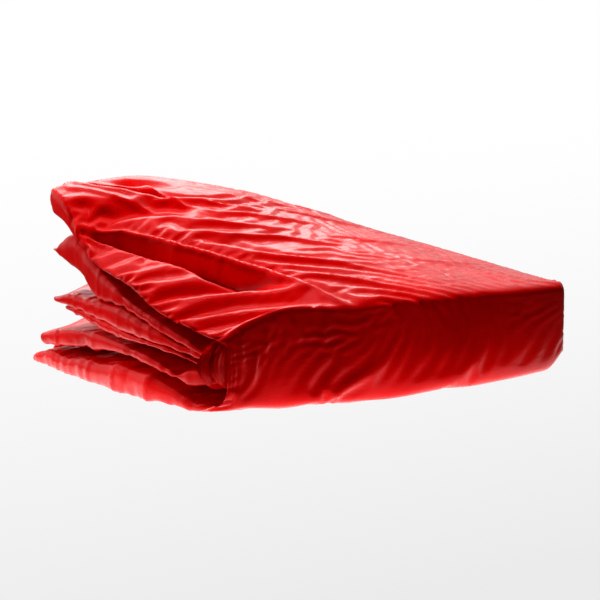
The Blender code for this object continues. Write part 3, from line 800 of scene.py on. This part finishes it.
def make_leaf(name, leaf, finish, seed, inset, end=1.0):
    """An inner leaf, which starts inset from the fold and reaches the share end of the length."""
    c, s, r = ply_grid(LEAF_COLUMNS, LEAF_SPACING, np.linspace(0, 1, LEAF_ROWS))
    own = inset / DEPTH + (1 - inset / DEPTH) * r
    x = X_NOSE + (end_x(leaf, s, own) - X_NOSE) * end
    at = np.clip((x - X_NOSE) / LENGTH, 0, 1)
    y = leaf_y(leaf, at, own)
    low, high = levels(leaf, at, np.clip((y - fold_y(at)) / DEPTH, 0, 1))
    plies = (np.stack([x, y, z], -1) for z in edge_close(r, high - LEAF_CLEARANCE, low + LEAF_CLEARANCE))
    p = two_plies(*plies, s, r, nose_of(leaf, r), c)
    return grid_object(name, displaced(p, leaf_wrinkles(p, s, r, seed)), finish)


# How far from the fold the inner leaves start, in metres.
TUNNEL_INSET, DECK_INSET = 0.0076, 0.0110

wraps = make_wraps()
layers = {
    "tunnel_starboard": make_leaf("tunnel_starboard_leaf", "C", tunnel_cloth, 61, TUNNEL_INSET, TUNNEL_END),
    "front_deck_starboard": make_leaf("front_deck_starboard_leaf", "D", deck_cloth, 71, DECK_INSET),
    "front_deck_port": make_leaf("front_deck_port_leaf", "E", deck_cloth, 81, DECK_INSET),
    "tunnel_port": make_leaf("tunnel_port_leaf", "F", tunnel_cloth, 91, TUNNEL_INSET, TUNNEL_END),
}

# Upright folds beside a turn's left rim: how far from it each lies, and how far they stand out, in metres.
RIM_RIDGES, RIM_RIDGE = (0.0024, 0.0052, 0.0085), 0.0013
# How far back a rim's upper and lower ends are tucked, behind the outer cloth's edge.
RIM_TUCK = 0.011
# How thick a turn is, and how thick each pleat of its rim is.
RIM_THICK, PLEAT_THICK = 0.0026, 0.0018


def make_turn(name, low_leaf, high_leaf, finish, inset, start, end, reach, pleats):
    """A layer where it turns round the centreline: an upright strip, whose left rim is pleated and bows out."""
    columns, rows, rim = 60, 40, 12 * pleats + 1
    far = np.linspace(1, 0, columns) ** 2.2
    s = np.concatenate([far, np.zeros(rim - 2), far[::-1]])
    across = np.concatenate([np.zeros(columns - 1), np.linspace(0, 1, rim), np.ones(columns - 1)])
    pleat = np.concatenate([np.zeros(columns - 1), np.linspace(0, pleats, rim), np.zeros(columns - 1)])
    s, r = np.meshgrid(s, np.linspace(0, 1, rows), indexing="ij")
    across, pleat = across[:, None] + 0 * r, pleat[:, None] + 0 * r
    at = start + (end - start) * s
    zero = np.zeros_like(s)
    apart = 1 - smooth(at / 0.3)
    low = sum(levels(low_leaf, at, zero)) / 2 - reach[0] * apart
    high = sum(levels(high_leaf, at, zero)) / 2 + reach[1] * apart
    near = 1 - smooth(s / 0.05)
    lens = np.sin(np.pi * r) ** 0.6
    wide = RIM_THICK + (PLEAT_THICK * pleats - RIM_THICK) * near * lens
    crest = (1 - np.abs(np.sin(np.pi * pleat))) ** 1.3
    from_rim = s * (end - start) * LENGTH
    ridges = sum(np.exp(-(((from_rim - place * (0.4 + 0.6 * lens)) / 0.0008) ** 2)) for place in RIM_RIDGES)
    bow = lens * (0.0022 + 0.0013 * np.sin(2.7 * pleat + inset * 900)) * near
    x = X_NOSE + LENGTH * at - bow - 0.0060 * crest * lens * near + RIM_TUCK * (1 - lens) * near
    wave = 0.0007 * noise(np.stack([at * 9, r * 3.3, across * 2.1], -1), 8) * (1 + near)
    spread = wide * (across - 0.5 * near) + 0.5 * near * RIM_THICK
    y = fold_y(at) + inset + spread + 0.003 * np.abs(2 * r - 1) ** 4 + wave
    y = y - RIM_RIDGE * ridges * lens * (across == 0)
    p = np.stack([x, y, low + (high - low) * r], -1)
    return grid_object(name, p, finish)


layers["tunnel_centre"] = make_turn(
    "tunnel_turn", "F", "C", tunnel_cloth, inset=0.0046, start=0.028, end=0.785, reach=(0.010, 0.015), pleats=3)
layers["front_deck_centre"] = make_turn(
    "front_deck_turn", "E", "D", deck_cloth, inset=0.0105, start=0.008, end=0.995, reach=(0.017, 0.016), pleats=3)


# Points of a CAD cord this near to each other are in one ring.
RING_SIZE = 0.0062


def rings_of(node):
    """The middles of the rings of a CAD cord, in order along it."""
    points = points_of(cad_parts[node].data)
    left = np.ones(len(points), bool)
    middles = []
    while left.any():
        near = left & (np.linalg.norm(points - points[left][0], axis=1) < RING_SIZE)
        middles.append(points[near].min(0) / 2 + points[near].max(0) / 2)
        left &= ~near
    middles = np.array(middles)
    order = [int(np.argmin(middles[:, 0])) if np.ptp(middles[:, 0]) > 0.01 else int(np.argmin(middles[:, 2]))]
    rest = set(range(len(middles))) - set(order)
    while rest:
        nearest = min(rest, key=lambda i: np.linalg.norm(middles[i] - middles[order[-1]]))
        order.append(nearest)
        rest.remove(nearest)
    return middles[order]


def sampled(path, spacing):
    """Points along a smooth curve through path, evenly apart, and how far along each lies."""
    def at(u):
        i = np.clip(u.astype(int), 0, len(path) - 2)
        f = (u - i)[:, None]
        before, a, b, after = (path[np.clip(i + k, 0, len(path) - 1)] for k in (-1, 0, 1, 2))
        return (a * (2 - 5 * f**2 + 3 * f**3) + b * (f + 4 * f**2 - 3 * f**3) + before * (-f + 2 * f**2 - f**3)
                + after * (f**3 - f**2)) / 2
    fine = at(np.linspace(0, len(path) - 1 - 1e-6, 40 * len(path)))
    gone = np.concatenate([[0], np.cumsum(np.linalg.norm(np.diff(fine, axis=0), axis=1))])
    where = np.linspace(0, gone[-1], max(int(gone[-1] / spacing), 4))
    return np.stack([np.interp(where, gone, fine[:, k]) for k in range(3)], -1), where


def tube(name, path, finish, radius_at, sides, spacing):
    """A closed tube along a path. radius_at(metres along, length, angle) gives its radius."""
    centre, where = sampled(path, spacing)
    ahead = np.gradient(centre, axis=0)
    ahead /= np.linalg.norm(ahead, axis=1, keepdims=True)
    side = np.empty_like(ahead)
    previous = np.cross(ahead[0], (0.3, 0.2, 1.0))
    for i, direction in enumerate(ahead):
        previous = previous - direction * previous.dot(direction)
        previous /= np.linalg.norm(previous)
        side[i] = previous
    up = np.cross(ahead, side)
    angle = np.arange(sides) * 2 * np.pi / sides
    radius = radius_at(where[:, None], where[-1], angle[None])[..., None]
    c, s = np.cos(angle)[None, :, None], np.sin(angle)[None, :, None]
    p = centre[:, None] + radius * (c * side[:, None] + s * up[:, None])
    index = np.arange(len(centre) * sides).reshape(-1, sides)
    across = np.roll(index, -1, axis=1)
    quads = np.stack([index[:-1], across[:-1], across[1:], index[1:]], -1).reshape(-1, 4).tolist()
    mesh = mesh_of(name, floor_clamp(p), quads + [index[0, ::-1].tolist(), index[-1].tolist()])
    mesh.validate()
    return placed(name, mesh, finish)


# The sleeves' and the cords' radius, in metres.
SLEEVE_RADIUS, CORD_RADIUS = 0.0041, 0.0026


def sleeve_radius(where, length, angle):
    """A gathered sleeve, whose ends taper to a sewn tail."""
    place = np.stack([np.cos(angle) * 0.9 + 0 * where, np.sin(angle) * 0.9 + 0 * where, where * 210 + 0 * angle], -1)
    gathers = 1 + 0.055 * noise(place, 17) + 0.03 * np.sin(where * 2100 + 2.5 * np.sin(angle))
    end = np.minimum(where, length - where)
    return SLEEVE_RADIUS * gathers * (0.30 + 0.70 * rounded(end / 0.012))


def cord_radius(where, length, angle):
    """A braided bungee cord."""
    braid = np.sin(where * 900 + 3 * angle) * np.sin(where * 900 - 3 * angle)
    return CORD_RADIUS * (1 + 0.03 * braid) + 0 * where


def body_of(node):
    """The body of a node that is named after its side."""
    return {"port": "port_half", "starboard": "starboard_half"}.get(node.split("_")[-1], "centre_fold")


def stand_in(piece, node, body=None):
    """Puts a piece in the place of a node."""
    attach(piece, body or body_of(node))
    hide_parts(node)


# The front deck's starboard hem ends this far inside the leaves, out of sight.
HEM_TUCK = 0.016
for node in ("rear_hem_sleeve_port", "rear_hem_sleeve_starboard", "front_hem_sleeve_port",
             "front_hem_sleeve_starboard", "stern_hem_sleeve", "bow_hem_sleeve"):
    cord_node = node.replace("sleeve", "cord")
    path = rings_of(cord_node)
    if node == "front_hem_sleeve_starboard":
        path = path[np.linalg.norm(path - path[0], axis=1) > HEM_TUCK]
    stand_in(tube(f"{node}_gathered", path, hem_cloth, sleeve_radius, sides=16, spacing=0.0013), node)
    short = path[1:-1] if len(path) > 8 else path
    cord = tube(f"{cord_node}_braided", short, cord_cover, cord_radius, sides=12, spacing=0.0016)
    stand_in(cord, cord_node, body_of(node))


def sewn(node, finish, voxel, relief, shift):
    """A small sewn piece, as big as its CAD node, with soft edges and its own relief. relief(points) gives metres."""
    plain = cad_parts[node].data
    faces = [tuple(f.vertices) for f in plain.polygons]
    rough = placed(f"{node}_rough", mesh_of(f"{node}_sewn", points_of(plain), faces))
    remesh = rough.modifiers.new("even", "REMESH")
    remesh.mode, remesh.voxel_size = "VOXEL", voxel
    soften = rough.modifiers.new("soft", "SMOOTH")
    soften.factor, soften.iterations = 0.5, 4
    even = bpy.data.meshes.new_from_object(rough.evaluated_get(bpy.context.evaluated_depsgraph_get()))
    bpy.data.objects.remove(rough)
    points, normals = points_of(even), np.array([tuple(n.vector) for n in even.vertex_normals])
    points += normals * relief(points)[:, None] + np.array((0.0, shift, 0.0))
    even.vertices.foreach_set("co", points.reshape(-1).astype(np.float32))
    even.update()
    even.materials.clear()
    return placed(f"{node}_sewn", even, finish)


def gathers(axis, size, seed):
    """Irregular ripples across a casing that is drawn up on its elastic."""
    def relief(p):
        run = p[:, axis] + 0.004 * noise(p * 45, seed)
        return size * (np.sin(run * 2 * math.pi / 0.0062) + 0.6 * np.sin(run * 2 * math.pi / 0.0041 + 1.3)
                       + noise(p * 120, seed + 1))
    return relief


def ribs(axis, pitch, size):
    return lambda p: size * np.sin(p[:, axis] * 2 * math.pi / pitch)


def stitches(axis, pitch, size):
    """Threads of a bar tack, slanting across it."""
    return lambda p: size * np.abs(np.sin((p[:, axis] + 0.15 * p[:, 2]) * math.pi / pitch))


# The anchor lies this much nearer to the loop than in the CAD model, out of sight from the front.
ANCHOR_SHIFT = 0.005

# node: (finish, voxel, relief, and its body where its name doesn't say)
small_pieces = {
    "waistband_port": (tunnel_cloth, 0.0011, gathers(1, 0.00045, 31)),
    "waistband_starboard": (tunnel_cloth, 0.0011, gathers(1, 0.00045, 33)),
    "waistband_centre": (tunnel_cloth, 0.0009, gathers(2, 0.00030, 35)),
    "waist_elastic_port": (elastic_weave, 0.0010, ribs(0, 0.0022, 0.00012)),
    "waist_elastic_starboard": (elastic_weave, 0.0010, ribs(0, 0.0022, 0.00012)),
    "waist_hook_tab": (tape, 0.0008, ribs(1, 0.0024, 0.00010), "starboard_half"),
    "waist_loop_patch": (tape, 0.0008, ribs(0, 0.0024, 0.00010), "starboard_half"),
    "grab_loop": (webbing_weave, 0.0007, ribs(1, 0.0019, 0.00008), "release_loop"),
    "grab_loop_bar_tack": (webbing_weave, 0.0004, stitches(1, 0.0011, 0.00025), "release_loop"),
    "grab_loop_anchor": (webbing_weave, 0.0005, ribs(1, 0.0019, 0.00006)),
}
for node, (finish, voxel, relief, *body) in small_pieces.items():
    piece = sewn(node, finish, voxel, relief, ANCHOR_SHIFT if node == "grab_loop_anchor" else 0.0)
    stand_in(piece, node, *body)

# Riding and replacing.
top_of_fold = float(through(FOLD_HEIGHT, np.array(0.5)))
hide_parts("rear_deck_starboard")
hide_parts("rear_deck_port", "rear_deck_centre")
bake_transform(wraps["upper"])
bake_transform(wraps["lower"])
for node, piece in layers.items():
    stand_in(piece, node)

# Stage, light and camera.

FLOOR_WIDE = 6.0
# The light from the floor, near the object and away from it, and the distances between which it falls.
FLOOR_NEAR, FLOOR_FAR, FLOOR_EDGE = 2.3, 0.04, (0.16, 0.36)
# The light from the sky, in front of the object and behind it, and the y of the directions between which it rises.
SKY_FRONT, SKY_BACK, SKY_EDGE = 0.0, 0.66, (-0.1, 0.6)
# The floor is seen with painted shade, darker towards the front: this much darker than white under the object, and
# this share of that one metre further back. It doesn't get darker any further forward than BACKDROP_FRONT.
BACKDROP_PAINTED_SHADE, BACKDROP_FADE, BACKDROP_FRONT = 0.071, 0.23, -0.6


def make_stage():
    """A pale floor, seen as a backdrop with painted shade that darkens it towards the front, which lights the object
    from below, less and less away from it.
    """
    corners = FLOOR_WIDE * np.array([(-1, -1, 0), (1, -1, 0), (1, 1, 0), (-1, 1, 0)])
    floor = placed("floor", mesh_of("floor", corners, [(0, 1, 2, 3)]))
    made, tree, shader = nodes_of("floor_paint")
    tree.nodes.remove(shader)
    link = tree.links.new
    place = add(tree, "ShaderNodeTexCoord").outputs["Object"]
    length = fed(tree, place, "ShaderNodeVectorMath", operation="LENGTH")
    lit = add(tree, "ShaderNodeEmission")
    link(map_range(tree, length.outputs["Value"], *FLOOR_EDGE, FLOOR_NEAR, FLOOR_FAR), lit.inputs["Strength"])
    # Painted shade: the floor glows for the camera, and its glow is darker towards the front.
    seen = add(tree, "ShaderNodeEmission")
    apart = fed(tree, place, "ShaderNodeSeparateXYZ")
    back = worked_out(tree, "MAXIMUM", apart.outputs["Y"], BACKDROP_FRONT)
    fade = worked_out(tree, "POWER", BACKDROP_FADE, back)
    link(worked_out(tree, "MULTIPLY_ADD", fade, -BACKDROP_PAINTED_SHADE, 1.0), seen.inputs["Strength"])
    seen_or_lit(tree, lit, seen, "Material Output")
    floor.data.materials.append(made)


def area_light(name, place, target, size, power, mirrored=True):
    data = bpy.data.lights.new(name, "AREA")
    data.shape = "RECTANGLE"
    data.size, data.size_y = size
    data.energy = power
    made = placed(name, data)
    made.location = place
    made.rotation_euler = (Vector(place) - Vector(target)).to_track_quat("Z", "Y").to_euler()
    made.visible_camera = False
    made.visible_glossy = mirrored


def make_camera(azimuth, elevation, distance, target, lens):
    a, e = math.radians(azimuth), math.radians(elevation)
    back = Vector((math.sin(a) * math.cos(e), -math.cos(a) * math.cos(e), math.sin(e)))
    data = bpy.data.cameras.new("camera")
    data.lens = lens
    camera = placed("camera", data)
    camera.location = Vector(target) + back * distance
    camera.rotation_euler = back.to_track_quat("Z", "Y").to_euler()
    bpy.context.scene.camera = camera


def make_world():
    """White where it is seen. As a light it is bright behind the object, near the horizon, and dark in front."""
    world = bpy.data.worlds.new("studio")
    bpy.context.scene.world = world
    world.use_nodes = True
    tree = world.node_tree
    background = tree.nodes["Background"]
    ahead = add(tree, "ShaderNodeTexCoord").outputs["Generated"]
    apart = fed(tree, ahead, "ShaderNodeSeparateXYZ")
    light = map_range(tree, apart.outputs["Y"], *SKY_EDGE, SKY_FRONT, SKY_BACK)
    tree.links.new(light, background.inputs["Strength"])
    background.inputs["Color"].default_value = (1, 1, 1, 1)
    seen = add(tree, "ShaderNodeBackground", Strength=1.0, Color=(1, 1, 1, 1))
    seen_or_lit(tree, background, seen, "World Output")


make_stage()
make_world()
area_light("back_softbox", (0.5, 1.3, 0.9), (0.1, 0, 0.1), size=(1.3, 0.6), power=8)
area_light("overhead", (0.10, 0.30, 1.5), (0, 0, 0.05), size=(0.4, 0.4), power=26, mirrored=False)
area_light("left_strip", (-1.15, 1.05, 0.36), (0, 0, 0.08), size=(0.3, 0.5), power=15, mirrored=False)
make_camera(azimuth=-34.5, elevation=9.5, distance=1.8, target=(0.004, 0.0076, 0.0555), lens=118.5)
scene = bpy.context.scene
scene.view_settings.view_transform = "Standard"
scene.view_settings.look = "None"
scene.cycles.use_denoising = True
